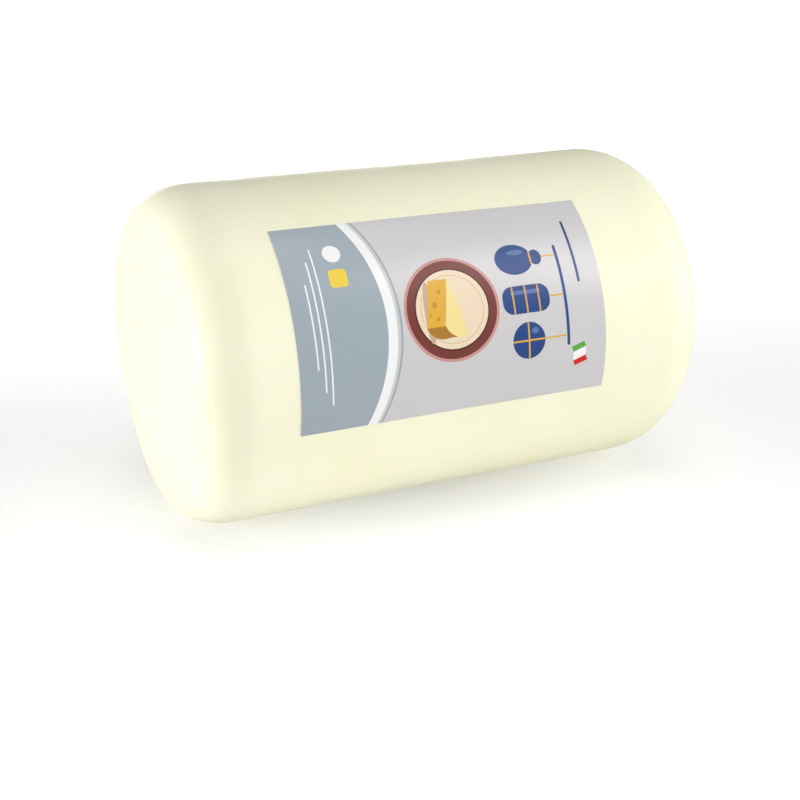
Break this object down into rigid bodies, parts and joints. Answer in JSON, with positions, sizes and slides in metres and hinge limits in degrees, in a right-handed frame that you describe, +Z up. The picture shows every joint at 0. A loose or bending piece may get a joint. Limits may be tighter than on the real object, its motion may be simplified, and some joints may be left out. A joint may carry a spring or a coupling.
{
  "type": "provola cheese log",
  "caption": "Smooth pale log of stretched-curd cheese lying on its side, with wide rounded edges, gently domed ends and a printed label wrapped round its front.",
  "frame": {"origin": "middle of the flat strip on the underside, at floor level", "axes": "+X along the log's axis, +Z up, the label facing -Y"},
  "size_m": [0.263, 0.1566, 0.1551],
  "materials": {
    "cheese": "smooth ivory-yellow cheese rind with a soft waxy sheen",
    "label": "satin silver-coated paper with printed fields of colour"
  },
  "bodies": {
    "root": {"cheese": "cheese", "label": "label"}
  },
  "joints": []
}
